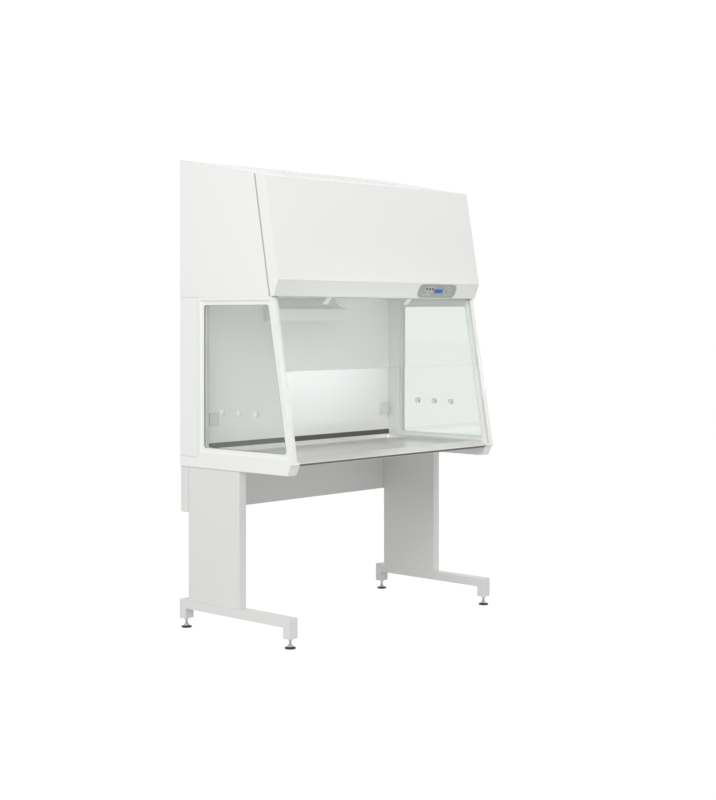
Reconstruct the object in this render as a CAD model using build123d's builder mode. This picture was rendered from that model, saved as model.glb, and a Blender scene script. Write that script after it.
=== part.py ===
"""Vertical laminar flow hood on a two-legged stand.

X runs to the right, Y to the rear and Z up, in millimetres.
The origin is on the floor, in the middle of the object's width and depth.
"""
from build123d import *
from math import cos, radians, sin, tan
import os

os.makedirs("parts", exist_ok=True)

# Overall sizes
width = 1340.0
overall_depth = 702.5
foot_length = 680.0
rear_inset = 4.0

# Heights, stacked from the floor
foot_gap = 42.0
block_drop = 45.0
bar_height = 38.0
column_height = 583.0
sill_height = 44.0
chamber_height = 692.0
chamfer_height = 69.5
face_height = 433.5

# Leaning surfaces
front_lean = 10.0
roof_slope = 10.6
chamfer_run = 28.0
cover_depth = 60.0
cover_step = 51.3

# Stand
bar_width = 50.0
block_length = 38.0
bar_round = 3.0
column_inset = 6.0
column_thickness = 42.0
column_depth = 323.0
beam_depth = 48.0
beam_height = 201.0
column_wall = 3.0
pad_radius = 22.5
pad_height = 10.0
pad_crown_radius = 11.0
pad_crown_height = 4.0
stud_radius = 5.0
stud_length = 74.0
foot_travel_up = 12.0
nut_height = 8.0
nut_radius = 9.8

# Side frames
frame_thickness = 42.0
rail_thickness = 50.0
ledge_rise = 7.0
post_width = 25.0
lip_thickness = 3.8
nose_setback = 8.5
nose_slant = 19.0
cap_thickness = 6.0
cap_gap = 1.5
ring_rear = 151.5
ring_front = 32.0
window_bottom_rise = 43.0
window_top_drop = 34.5
window_round = 12.0
lip_width = 12.5
bevel_width = 8.0
bevel_depth = 6.0
glass_depth = 19.0
glass_thickness = 6.0
glass_cover = 8.0
bead_thickness = 10.0
pillar_width = 118.0
pillar_return = 30.0
seam = 1.2

# Ports in the side panes
port_rear = 250.0
port_pitch = 103.5
port_count = 3
port_rise = 200.0
port_radius = 10.0
port_flange_radius = 13.0
port_flange_thickness = 3.0

# Sheet metal and small clearances
sheet = 2.0
fit = 0.3
running = 0.05

# Chamber
wall_gap = 76.0
wall_flange = 18.0
rim_rise = 20.0
rim_width = 12.0
nose_run = 30.0
nose_drop = 22.0
nose_return = 20.0
upstand_rise = 24.5
worktop_front = 39.0
bearer_width = 30.0
bearer_height = 25.0
bearer_front_inset = 50.25
bearer_rear_inset = 75.45

# Front sash
sash_thickness = 6.0
sash_slot = 6.4
sash_cover = 10.5
sash_length = 712.0
sash_opening = 357.0
sash_travel_down = 378.0
sash_travel_up = 60.0
glide_length = 34.0
glide_width = 7.0

# Lamp on the rear wall
lamp_inset = 399.0
lamp_back_drop = 34.0
lamp_top_run = 53.0
lamp_top_drop = 16.0
lamp_face_run = 15.0
lamp_face_drop = 53.0
lamp_sheet = 1.5
tube_radius = 13.0
tube_inset = 22.0
holder_height = 34.0
lamp_fold_ease = 0.6

# Sockets on the rear wall
socket_size = 56.0
socket_left_inset = 79.0
socket_right_inset = 40.0
socket_rise = 156.0
socket_base_depth = 9.0
well_radius = 19.5
well_depth = 17.5
well_wall = 2.0
well_drop = 3.0
contact_radius = 2.4
contact_pitch = 19.0
lid_depth = 7.0
lid_gap = 0.4
lid_barrel_radius = 2.5

# Hood
flange = 30.0
cover_lip = 8.0
bulkhead_depth = 18.0
guide_width = 13.5
guide_spare = 15.0
deck_height = 196.0
grille_inset = 265.0
grille_length = 246.0
grille_border = 15.0
grille_rear = 86.0
hole_columns = 18
hole_rows = 5
hole_radius = 12.0
tab_width = 34.0
tab_inset = 360.0
tab_drop = 30.0
tab_set_back = 35.0

# Filter and fan
filter_height = 78.0
filter_wall = 20.0
filter_margin = 45.0
filter_opening_margin = 70.0
shelf_sheet = 3.0
pleat_count = 24
pleat_sheet = 4.0
fan_place = 60.0
impeller_radius = 140.0
impeller_inlet = 92.0
impeller_height = 52.0
blade_count = 7
blade_thickness = 3.0
blade_angle = 50.0
shaft_radius = 8.0
motor_radius = 55.0
motor_height = 44.0
bracket_sheet = 4.0
bracket_leg = 14.0
bracket_spread = 165.0
inlet_overlap = 8.0
prefilter_thickness = 20.0
prefilter_rail = 16.0

# Control panel on the chamfer
panel_inset = 299.0
panel_length = 268.0
panel_height = 65.0
panel_round = 26.0
panel_thickness = 3.0
keypad_centre = -63.0
keypad_length = 66.0
keypad_height = 42.0
keypad_slant = 20.0
key_pitch_x = 21.0
key_pitch_y = 19.5
key_stagger = 9.0
key_size = 14.0
key_round = 4.0
key_proud = 1.6
key_travel = 0.8
key_gap = 0.35
key_float = 0.1
display_centre = 7.0
display_length = 58.0
display_height = 16.0
button_centre = 73.0
button_ring_radius = 22.0
button_radius = 9.5
button_travel = 2.0
inlay = 1.4
backing_depth = 18.0
box_height = 44.0
box_rise = 6.0

# Cover hinges on the roof
hinge_inset = 220.0
hinge_length = 60.0
knuckle_length = 19.6
knuckle_radius = 4.0
hinge_pin_radius = 1.8
hinge_leaf = 18.0
hinge_sheet = 1.5

# Derived planes and levels
half = width / 2
toe_y = -overall_depth / 2
block_y = overall_depth / 2 - pad_radius
foot_rear = block_y + block_length / 2
cabinet_rear = foot_rear - rear_inset
block_top = foot_gap + block_drop
bar_top = block_top + bar_height
sill_bottom = bar_top + column_height
sill_top = sill_bottom + sill_height
floor_bottom = sill_top + ledge_rise
floor_top = floor_bottom + sheet
rim_top = floor_bottom + rim_rise
hood_bottom = sill_top + chamber_height
crease_z = hood_bottom + chamfer_height
face_top = crease_z + face_height
lean = tan(radians(front_lean))
lean_cos = cos(radians(front_lean))
lean_sin = sin(radians(front_lean))
rise = tan(radians(roof_slope))
rise_cos = cos(radians(roof_slope))
rise_sin = sin(radians(roof_slope))
inner_x = half - frame_thickness
wall_y = cabinet_rear - wall_gap
socket_centres = (-inner_x + socket_left_inset, inner_x - socket_right_inset)
panel_centre = half - panel_inset
tab_spread = inner_x - tab_inset
hinge_spread = half - hinge_inset
grille_width = width - 2 * grille_inset
lamp_length = 2 * (inner_x - lamp_inset)
tube_length = lamp_length - 2 * tube_inset
column_rear = cabinet_rear - beam_depth
column_front = column_rear - column_depth


def post_front(z):
    """Y of the plane that the front faces of both posts lie in."""
    return toe_y + (z - sill_top) * lean


def face_y(z):
    """Y of the hood's front face, which stands ahead of the posts."""
    return post_front(z) - cover_step


def seam_y(z):
    """Y of the seam between a side panel and the front cover."""
    return face_y(z) + cover_depth


crease_y = face_y(crease_z)
chin_y = crease_y + chamfer_run
face_top_y = face_y(face_top)


def roof_z(y):
    """Height of the roof's upper surface."""
    return face_top + (y - face_top_y) * rise


# The seam and the roof meet where seam_y(z) = y and roof_z(y) = z
hinge_y = (seam_y(0) + lean * (face_top - face_top_y * rise)) / (1 - lean * rise)
hinge_z = roof_z(hinge_y)

# Plane of the posts' front faces, with its origin at the hood's lower edge
front = Plane(
    origin=(0, post_front(hood_bottom), hood_bottom),
    x_dir=(1, 0, 0),
    z_dir=(0, -lean_cos, lean_sin),
)
chamfer_length = (chamfer_run**2 + chamfer_height**2) ** 0.5
chamfer_plane = Plane(
    origin=(panel_centre, (crease_y + chin_y) / 2, (crease_z + hood_bottom) / 2),
    x_dir=(1, 0, 0),
    z_dir=(0, -chamfer_height / chamfer_length, -chamfer_run / chamfer_length),
)
grille_y = cabinet_rear - grille_rear - grille_length * rise_cos / 2
roof_plane = Plane(
    origin=(0, grille_y, roof_z(grille_y)),
    x_dir=(1, 0, 0),
    z_dir=(0, -rise_sin, rise_cos),
)


def save(piece, name):
    """Label a finished piece and write it."""
    piece.part.label = name
    export_step(piece.part, f"parts/{name}.step")


def outline(points):
    """Closed face through the given points, in the sketch that is open."""
    return Polygon(*points, align=None)


# Stand: two welded feet, two box columns and a cross beam behind them
front_block_y = foot_rear - foot_length + block_length / 2
foot_centre_x = half - bar_width / 2
bar_centre_y = foot_rear - foot_length / 2
bore_depth = stud_length - (foot_gap - pad_height) + foot_travel_up

for side, sign in (("left", -1), ("right", 1)):
    with BuildPart() as foot_frame:
        with BuildSketch(Plane.XY.offset(block_top)):
            with Locations((sign * foot_centre_x, bar_centre_y)):
                Rectangle(bar_width, foot_length)
        extrude(amount=bar_height)
        with BuildSketch(Plane.XY.offset(foot_gap)):
            with Locations((sign * foot_centre_x, block_y), (sign * foot_centre_x, front_block_y)):
                Rectangle(bar_width, block_length)
        extrude(amount=block_drop)
        fillet(foot_frame.edges().filter_by(Axis.Z), bar_round)
        with Locations(
            Pos(sign * foot_centre_x, block_y, foot_gap) * Rot(180, 0, 0),
            Pos(sign * foot_centre_x, front_block_y, foot_gap) * Rot(180, 0, 0),
        ):
            Hole(stud_radius + running, depth=bore_depth)
    save(foot_frame, f"{side}_foot_frame")

    with BuildPart() as column:
        column_x = half - column_inset - column_thickness / 2
        with BuildSketch(Plane.XY.offset(bar_top)):
            with Locations((sign * column_x, (column_rear + column_front) / 2)):
                RectangleRounded(column_thickness, column_depth, bar_round)
                Rectangle(
                    column_thickness - 2 * column_wall,
                    column_depth - 2 * column_wall,
                    mode=Mode.SUBTRACT,
                )
        extrude(amount=column_height)
    save(column, f"{side}_column")

with BuildPart() as rear_beam:
    with BuildSketch(Plane.YZ.offset(-half + column_inset)):
        with Locations((cabinet_rear - beam_depth / 2, sill_bottom - beam_height / 2)):
            Rectangle(beam_depth, beam_height)
    extrude(amount=width - 2 * column_inset)
    fillet(rear_beam.edges().filter_by(Axis.X), bar_round / 2)
save(rear_beam, "rear_beam")

foot_places = {
    "front_left": (-foot_centre_x, front_block_y),
    "front_right": (foot_centre_x, front_block_y),
    "rear_left": (-foot_centre_x, block_y),
    "rear_right": (foot_centre_x, block_y),
}
for corner, (foot_x, foot_y) in foot_places.items():
    with BuildPart() as levelling_foot:
        with BuildSketch(Plane.XZ.offset(-foot_y)):
            with Locations((foot_x, 0)):
                outline(
                    [
                        (0, 0),
                        (pad_radius, 0),
                        (pad_radius, pad_height / 2),
                        (pad_crown_radius, pad_height),
                        (pad_crown_radius, pad_height + pad_crown_height),
                        (stud_radius, pad_height + pad_crown_height),
                        (stud_radius, pad_height + stud_length),
                        (0, pad_height + stud_length),
                    ]
                )
        revolve(axis=Axis((foot_x, foot_y, 0), (0, 0, 1)))
    save(levelling_foot, f"levelling_foot_{corner}")

with BuildPart() as lock_nuts:
    with BuildSketch(Plane.XY.offset(foot_gap - nut_height)):
        with Locations(*foot_places.values()):
            RegularPolygon(nut_radius, 6)
            Circle(stud_radius + running, mode=Mode.SUBTRACT)
    extrude(amount=nut_height)
save(lock_nuts, "lock_nuts")

# Side frames, each one moulding with its base rail, front post and window ring
window_bottom = sill_top + window_bottom_rise
window_top = hood_bottom - window_top_drop
window_rear = cabinet_rear - ring_rear
nose_top_y = toe_y + nose_setback
nose_bottom_y = nose_top_y + nose_slant
slot_edge = post_width - sash_cover
sash_bottom_s = (rim_top + sash_opening - hood_bottom) / lean_cos
slot_bottom_s = sash_bottom_s - sash_travel_down - fit


def window_points(grow):
    """Corners of the window, each side moved out by the same amount."""
    low = window_bottom - grow
    high = window_top + grow
    ahead = ring_front - grow
    return [
        (window_rear + grow, low),
        (window_rear + grow, high),
        (post_front(high) + ahead, high),
        (post_front(low) + ahead, low),
    ]


def side_plane(sign, depth):
    """Plane parallel to a side, at a depth below its outer face."""
    return Plane.YZ.offset(sign * (half - depth))


port_places = [
    (cabinet_rear - port_rear - port_pitch * count, sill_top + port_rise)
    for count in range(port_count)
]
rim_front = toe_y + worktop_front
rim_rear = rim_front + rim_width

for side, sign in (("left", -1), ("right", 1)):
    outer = side_plane(sign, 0)
    with BuildPart() as side_frame:
        with BuildSketch(outer):
            outline(
                [
                    (cabinet_rear, sill_bottom),
                    (cabinet_rear, hood_bottom),
                    (post_front(hood_bottom), hood_bottom),
                    (toe_y, sill_top),
                    (nose_top_y + cap_thickness, sill_top),
                    (nose_bottom_y + cap_thickness, sill_bottom),
                ]
            )
        extrude(amount=-sign * frame_thickness)
        with BuildSketch(side_plane(sign, frame_thickness)):
            outline(
                [
                    (cabinet_rear, sill_bottom),
                    (cabinet_rear, floor_bottom),
                    (rim_front, floor_bottom),
                    (rim_front, sill_top),
                    (nose_top_y + cap_thickness, sill_top),
                    (nose_bottom_y + cap_thickness, sill_bottom),
                ]
            )
        extrude(amount=-sign * (rail_thickness - frame_thickness))

        # Rebate for the pillar cover, on the side and round the rear edge
        with BuildSketch(outer):
            with Locations((cabinet_rear, sill_top)):
                Rectangle(
                    pillar_width + seam,
                    chamber_height,
                    align=(Align.MAX, Align.MIN),
                )
        extrude(amount=-sign * sheet, mode=Mode.SUBTRACT)
        with BuildSketch(Plane.XZ.offset(-cabinet_rear)):
            with Locations((sign * (half - rail_thickness / 2), sill_top)):
                Rectangle(rail_thickness, chamber_height, align=(Align.CENTER, Align.MIN))
        extrude(amount=sheet, mode=Mode.SUBTRACT)

        # Window: a mitred bevel, a flat lip, the opening and the pane's pocket
        with BuildSketch(outer):
            outline(window_points(lip_width + bevel_width))
        with BuildSketch(side_plane(sign, bevel_depth)):
            outline(window_points(lip_width))
        loft(mode=Mode.SUBTRACT)
        with BuildSketch(outer) as opening:
            outline(window_points(0))
            fillet(opening.vertices(), window_round)
        extrude(amount=-sign * frame_thickness, mode=Mode.SUBTRACT)
        with BuildSketch(side_plane(sign, glass_depth)):
            outline(window_points(glass_cover))
        extrude(amount=-sign * (frame_thickness - glass_depth), mode=Mode.SUBTRACT)

        # Slot for the sash behind the post's front lip, open to the inside
        slot_length = (hood_bottom - sill_top) / lean_cos
        with BuildSketch(front.offset(-lip_thickness)):
            with Locations((sign * (half - (frame_thickness + slot_edge) / 2), slot_bottom_s)):
                Rectangle(
                    frame_thickness - slot_edge,
                    slot_length,
                    align=(Align.CENTER, Align.MIN),
                )
        extrude(amount=-sash_slot, mode=Mode.SUBTRACT)
        with BuildSketch(front):
            with Locations((sign * (half - (frame_thickness + post_width) / 2), slot_bottom_s)):
                Rectangle(
                    frame_thickness - post_width,
                    slot_length,
                    align=(Align.CENTER, Align.MIN),
                )
        extrude(amount=-lip_thickness, mode=Mode.SUBTRACT)
    save(side_frame, f"{side}_side_frame")

    with BuildPart() as side_glass:
        with BuildSketch(side_plane(sign, glass_depth)):
            outline(window_points(glass_cover - fit))
            with Locations(*port_places):
                Circle(port_radius, mode=Mode.SUBTRACT)
        extrude(amount=-sign * glass_thickness)
    save(side_glass, f"{side}_side_glass")

with BuildPart() as rail_caps:
    for sign in (-1, 1):
        with BuildSketch(side_plane(sign, 0)):
            outline(
                [
                    (nose_top_y, sill_top - cap_gap),
                    (nose_top_y + cap_thickness, sill_top - cap_gap),
                    (nose_bottom_y + cap_thickness, sill_bottom),
                    (nose_bottom_y, sill_bottom),
                ]
            )
        extrude(amount=-sign * rail_thickness)
save(rail_caps, "rail_caps")

with BuildPart() as pillar_covers:
    for sign in (-1, 1):
        with BuildSketch(Plane.XY.offset(sill_top + seam)):
            outline(
                [
                    (sign * half, cabinet_rear - pillar_width),
                    (sign * half, cabinet_rear),
                    (sign * (half - pillar_return), cabinet_rear),
                    (sign * (half - pillar_return), cabinet_rear - sheet),
                    (sign * (half - sheet), cabinet_rear - sheet),
                    (sign * (half - sheet), cabinet_rear - pillar_width),
                ]
            )
        extrude(amount=chamber_height - 2 * seam)
save(pillar_covers, "pillar_covers")

pane_back = glass_depth + glass_thickness
with BuildPart() as glazing_beads:
    for sign in (-1, 1):
        with BuildSketch(side_plane(sign, pane_back)):
            outline(window_points(glass_cover - fit))
        extrude(amount=-sign * bead_thickness)
        with BuildSketch(side_plane(sign, pane_back)) as bead_opening:
            outline(window_points(0))
            fillet(bead_opening.vertices(), window_round)
        extrude(amount=-sign * bead_thickness, mode=Mode.SUBTRACT)
save(glazing_beads, "glazing_beads")

plug_steps = (
    (glass_depth - port_flange_thickness, port_flange_thickness, port_flange_radius),
    (glass_depth, glass_thickness, port_radius),
    (pane_back, port_flange_thickness, port_flange_radius),
)
with BuildPart() as port_plugs:
    for sign in (-1, 1):
        for depth, length, radius in plug_steps:
            with BuildSketch(side_plane(sign, depth)):
                with Locations(*port_places):
                    Circle(radius)
            extrude(amount=-sign * length)
save(port_plugs, "port_plugs")

# Chamber: rear wall, outer back panel, worktop and its bearers
socket_z = sill_top + socket_rise
well_z = socket_z - well_drop
with BuildPart() as rear_wall:
    wall_half = inner_x - fit
    with BuildSketch(Plane.XY.offset(floor_bottom)):
        outline(
            [
                (-wall_half, wall_y),
                (wall_half, wall_y),
                (wall_half, wall_y + wall_flange),
                (wall_half - sheet, wall_y + wall_flange),
                (wall_half - sheet, wall_y + sheet),
                (-wall_half + sheet, wall_y + sheet),
                (-wall_half + sheet, wall_y + wall_flange),
                (-wall_half, wall_y + wall_flange),
            ]
        )
    extrude(amount=hood_bottom + sheet - floor_bottom)
    with BuildSketch(Plane.XZ.offset(-wall_y)):
        with Locations(*[(centre, well_z) for centre in socket_centres]):
            Circle(well_radius + well_wall + fit)
    extrude(amount=-sheet, mode=Mode.SUBTRACT)
save(rear_wall, "rear_wall")

with BuildPart() as lower_back_panel:
    back_half = half - pillar_return - seam
    with BuildSketch(Plane.XZ.offset(-cabinet_rear)):
        with Locations((0, sill_top + seam)):
            Rectangle(2 * back_half, chamber_height - 2 * seam, align=(Align.CENTER, Align.MIN))
    extrude(amount=sheet)
save(lower_back_panel, "lower_back_panel")

floor_rear = wall_y - sheet - fit
worktop_half = inner_x - fit
with BuildPart() as worktop:
    with BuildSketch(Plane.YZ.offset(-worktop_half)):
        outline(
            [
                (floor_rear + sheet, floor_bottom),
                (floor_rear + sheet, rim_top + upstand_rise),
                (floor_rear, rim_top + upstand_rise),
                (floor_rear, rim_top),
                (rim_front, rim_top),
                (rim_front - nose_run, rim_top - nose_drop),
                (rim_front - nose_run, rim_top - nose_drop - sheet),
                (rim_front - nose_run + nose_return, rim_top - nose_drop - sheet),
                (rim_front - nose_run + nose_return, rim_top - nose_drop),
                (rim_front, floor_bottom),
            ]
        )
    extrude(amount=2 * worktop_half)
    with BuildSketch(Plane.XY.offset(floor_top)):
        with Locations((0, (floor_rear + rim_rear) / 2)):
            RectangleRounded(
                2 * (worktop_half - rim_width),
                floor_rear - rim_rear,
                window_round,
            )
    extrude(amount=rim_rise, mode=Mode.SUBTRACT)
save(worktop, "worktop")

with BuildPart() as worktop_bearers:
    bearer_half = half - rail_thickness - fit
    with BuildSketch(Plane.YZ.offset(-bearer_half)):
        for place in (rim_rear + bearer_front_inset, floor_rear - bearer_rear_inset):
            with Locations((place, floor_bottom - bearer_height / 2)):
                Rectangle(bearer_width, bearer_height)
                Rectangle(bearer_width - 2 * sheet, bearer_height - 2 * sheet, mode=Mode.SUBTRACT)
    extrude(amount=2 * bearer_half)
save(worktop_bearers, "worktop_bearers")

# Front sash: one pane in the slots, with a glide at each lower corner
sash_half = half - slot_edge - fit
sash_face = front.offset(-lip_thickness - (sash_slot - sash_thickness) / 2)
with BuildPart() as sash_pane:
    with BuildSketch(sash_face):
        with Locations((0, sash_bottom_s)):
            Rectangle(2 * sash_half, sash_length, align=(Align.CENTER, Align.MIN))
        for sign in (-1, 1):
            with Locations((sign * (sash_half - glide_width / 2), sash_bottom_s)):
                Rectangle(
                    glide_width, glide_length, align=(Align.CENTER, Align.MIN), mode=Mode.SUBTRACT
                )
    extrude(amount=-sash_thickness)
save(sash_pane, "sash_pane")

with BuildPart() as sash_glides:
    with BuildSketch(sash_face):
        for sign in (-1, 1):
            with Locations((sign * (sash_half - glide_width / 2), sash_bottom_s)):
                Rectangle(glide_width, glide_length, align=(Align.CENTER, Align.MIN))
    extrude(amount=-sash_thickness)
save(sash_glides, "sash_glides")

# Lamp: a folded reflector on the rear wall, with its tube and two holders
lamp_top = hood_bottom
lamp_knee_y = wall_y - lamp_back_drop
lamp_face_y = lamp_knee_y - lamp_top_run
lamp_tip_y = lamp_face_y - lamp_face_run
lamp_knee_z = lamp_top - lamp_back_drop
lamp_face_z = lamp_knee_z - lamp_top_drop
lamp_tip_z = lamp_face_z - lamp_face_drop


def lamp_profile(wall):
    """Section of the reflector, each fold moved in by the wall's thickness."""
    return [
        (wall_y - wall, lamp_top - 2 * wall),
        (lamp_knee_y + wall * (1 - lamp_fold_ease), lamp_knee_z - wall),
        (lamp_face_y + wall, lamp_face_z - wall),
        (lamp_tip_y + wall, lamp_tip_z),
        (wall_y - wall, lamp_tip_z),
    ]


with BuildPart() as lamp_housing:
    with BuildSketch(Plane.YZ.offset(-lamp_length / 2)):
        outline(lamp_profile(0))
    extrude(amount=lamp_length)
    with BuildSketch(Plane.YZ.offset(-lamp_length / 2 + lamp_sheet)):
        outline(lamp_profile(lamp_sheet))
    extrude(amount=lamp_length - 2 * lamp_sheet, mode=Mode.SUBTRACT)
save(lamp_housing, "lamp_housing")

tube_y = (lamp_tip_y + wall_y) / 2
tube_z = lamp_tip_z + tube_radius + lamp_sheet
with BuildPart() as lamp_tube:
    with BuildSketch(Plane.YZ.offset(-tube_length / 2)):
        with Locations((tube_y, tube_z)):
            Circle(tube_radius)
    extrude(amount=tube_length)
save(lamp_tube, "lamp_tube")

with BuildPart() as lamp_holders:
    for sign in (-1, 1):
        with BuildSketch(Plane.YZ.offset(sign * (lamp_length / 2 - lamp_sheet))):
            with Locations((tube_y, tube_z)):
                SlotOverall(holder_height, 2 * tube_radius, rotation=90)
        extrude(amount=-sign * (lamp_length / 2 - lamp_sheet - tube_length / 2))
save(lamp_holders, "lamp_holders")

# Sockets with sprung lids, hinged along their upper edge
lid_hinge_y = wall_y - socket_base_depth - lid_gap - lid_barrel_radius
lid_hinge_z = socket_z + socket_size / 2 - lid_barrel_radius
lid_back = wall_y - socket_base_depth - lid_gap
barrel_clear = 2 * bar_round + lid_gap
socket_face = Plane.XZ.offset(-wall_y + socket_base_depth)
with BuildPart() as socket_bases:
    for centre in socket_centres:
        with BuildSketch(Plane.XZ.offset(-wall_y)):
            with Locations((centre, socket_z)):
                RectangleRounded(socket_size, socket_size, bar_round)
        extrude(amount=socket_base_depth)
        with BuildSketch(socket_face):
            with Locations((centre, well_z)):
                Circle(well_radius + well_wall)
        extrude(amount=-well_depth - well_wall)
        with BuildSketch(socket_face):
            with Locations((centre, well_z)):
                Circle(well_radius)
        extrude(amount=-well_depth, mode=Mode.SUBTRACT)
        with BuildSketch(socket_face):
            with Locations((centre, well_z)):
                with GridLocations(contact_pitch, 1, 2, 1):
                    Circle(contact_radius)
        extrude(amount=-well_depth - well_wall, mode=Mode.SUBTRACT)
        for lug_x in (bar_round, socket_size - 2 * bar_round):
            with BuildSketch(Plane.YZ.offset(centre - socket_size / 2 + lug_x)):
                with Locations((lid_hinge_y, lid_hinge_z)):
                    Circle(lid_barrel_radius)
                with Locations((wall_y - socket_base_depth, lid_hinge_z)):
                    Rectangle(
                        lid_gap + lid_barrel_radius,
                        2 * lid_barrel_radius,
                        align=(Align.MAX, Align.CENTER),
                    )
            extrude(amount=bar_round)
        with BuildSketch(Plane.YZ.offset(centre - socket_size / 2 + bar_round)):
            with Locations((lid_hinge_y, lid_hinge_z)):
                Circle(lid_barrel_radius / 2)
        extrude(amount=socket_size - 2 * bar_round)
save(socket_bases, "socket_bases")

for side, centre in zip(("left", "right"), socket_centres):
    with BuildPart() as socket_lid:
        with BuildSketch(Plane.XZ.offset(-lid_back)):
            with Locations((centre, socket_z - lid_barrel_radius - lid_gap)):
                RectangleRounded(
                    socket_size,
                    socket_size - 2 * lid_barrel_radius - 2 * lid_gap,
                    bar_round,
                )
        extrude(amount=lid_depth)
        with BuildSketch(Plane.YZ.offset(centre - socket_size / 2 + barrel_clear)):
            with Locations((lid_hinge_y, lid_hinge_z)):
                Circle(lid_barrel_radius)
                Rectangle(
                    2 * lid_barrel_radius,
                    2 * lid_barrel_radius + lid_gap,
                    align=(Align.CENTER, Align.MAX),
                )
        extrude(amount=socket_size - 2 * barrel_clear)
        with BuildSketch(Plane.YZ.offset(centre - socket_size / 2)):
            with Locations((lid_hinge_y, lid_hinge_z)):
                Circle(lid_barrel_radius / 2 + running)
        extrude(amount=socket_size, mode=Mode.SUBTRACT)
    save(socket_lid, f"{side}_socket_lid")

# Hood: levels shared by its sheet-metal pieces
roof_drop = sheet / rise_cos
panel_half = half - sheet - fit
shelf_bottom = hood_bottom + sheet
shelf_top = shelf_bottom + shelf_sheet
shelf_front = post_front(shelf_bottom) + bulkhead_depth / lean_cos
shelf_rear = cabinet_rear - sheet - fit
bulkhead = front.offset(-bulkhead_depth)
bulkhead_back = bulkhead_depth + sheet


def slope_s(z, depth):
    """Distance up the posts' plane at which a point this deep reaches a height."""
    return (z - hood_bottom + depth * lean_sin) / lean_cos


guide_low_s = slope_s(shelf_top, bulkhead_back)
guide_high_s = sash_bottom_s + sash_length + sash_travel_up + guide_spare

# Hinges of the front cover: knuckles in the seam, leaves flat on roof and cover
hinge_plane = Plane(
    origin=(0, hinge_y, hinge_z), x_dir=(1, 0, 0), z_dir=(0, -rise_sin, rise_cos)
)
hinge_section = Plane(
    origin=(0, hinge_y, hinge_z), x_dir=(0, rise_cos, rise_sin), z_dir=(1, 0, 0)
)
knuckle_step = (hinge_length - knuckle_length) / 2


def hinge_half(places, leaf_side):
    """Leaves and knuckles of one side of both hinges."""
    along = Align.MIN if leaf_side > 0 else Align.MAX
    with BuildPart() as leaves:
        for spread in (-hinge_spread, hinge_spread):
            for place in places:
                with BuildSketch(hinge_section.offset(spread + place - knuckle_length / 2)):
                    Circle(knuckle_radius)
                    Rectangle(
                        knuckle_radius + 2 * hinge_sheet, hinge_sheet, align=(along, Align.MIN)
                    )
                    Circle(hinge_pin_radius + running, mode=Mode.SUBTRACT)
                extrude(amount=knuckle_length)
            with BuildSketch(hinge_plane):
                with Locations((spread, leaf_side * (knuckle_radius + fit))):
                    Rectangle(hinge_length, hinge_leaf, align=(Align.CENTER, along))
            extrude(amount=hinge_sheet)
    return leaves.part


roof_leaves = hinge_half((-knuckle_step, knuckle_step), 1)
cover_leaves = hinge_half((0,), -1)
notch = (hinge_length + 2 * fit, 2 * (knuckle_radius + fit))

with BuildPart() as hinge_pins:
    for spread in (-hinge_spread, hinge_spread):
        with BuildSketch(hinge_section.offset(spread - hinge_length / 2)):
            Circle(hinge_pin_radius)
        extrude(amount=hinge_length)
save(hinge_pins, "hinge_pins")


def side_panel_points(wall, open_front):
    """Side panel's outline, moved in by the sheet's thickness on three sides."""
    low = hood_bottom + wall
    ahead = seam / 2 if wall == 0 else -open_front
    back = cabinet_rear - wall
    top = -roof_drop - wall / rise_cos
    return [
        (back, low),
        (back, roof_z(back) + top),
        (hinge_y + ahead, roof_z(hinge_y + ahead) + top),
        (seam_y(low) + ahead, low),
    ]


for side, sign in (("left", -1), ("right", 1)):
    with BuildPart() as side_panel:
        with BuildSketch(side_plane(sign, 0)):
            outline(side_panel_points(0, 0))
        extrude(amount=-sign * flange)
        with BuildSketch(side_plane(sign, sheet)):
            outline(side_panel_points(sheet, flange))
            with Locations((shelf_front, hood_bottom)):
                Rectangle(3 * flange, flange, align=(Align.MAX, Align.CENTER))
        extrude(amount=-sign * flange, mode=Mode.SUBTRACT)
    save(side_panel, f"{side}_hood_panel")

with BuildPart() as sash_guides:
    guide_x = half - slot_edge + sheet - guide_width / 2
    for sign in (-1, 1):
        with BuildSketch(front):
            with Locations((sign * guide_x, guide_low_s)):
                Rectangle(
                    guide_width, guide_high_s - guide_low_s, align=(Align.CENTER, Align.MIN)
                )
        extrude(amount=-bulkhead_depth)
        with BuildSketch(front.offset(-lip_thickness)):
            with Locations((sign * (half - slot_edge), guide_low_s)):
                Rectangle(
                    2 * guide_width,
                    guide_high_s - guide_low_s,
                    align=(Align.MAX if sign > 0 else Align.MIN, Align.MIN),
                )
        extrude(amount=-sash_slot, mode=Mode.SUBTRACT)
save(sash_guides, "sash_guides")

with BuildPart() as hood_back_panel:
    with BuildSketch(Plane.XZ.offset(-cabinet_rear - sheet)):
        with Locations((0, hood_bottom)):
            Rectangle(
                width,
                roof_z(cabinet_rear) - roof_drop - hood_bottom,
                align=(Align.CENTER, Align.MIN),
            )
    extrude(amount=sheet)
save(hood_back_panel, "hood_back_panel")

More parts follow.
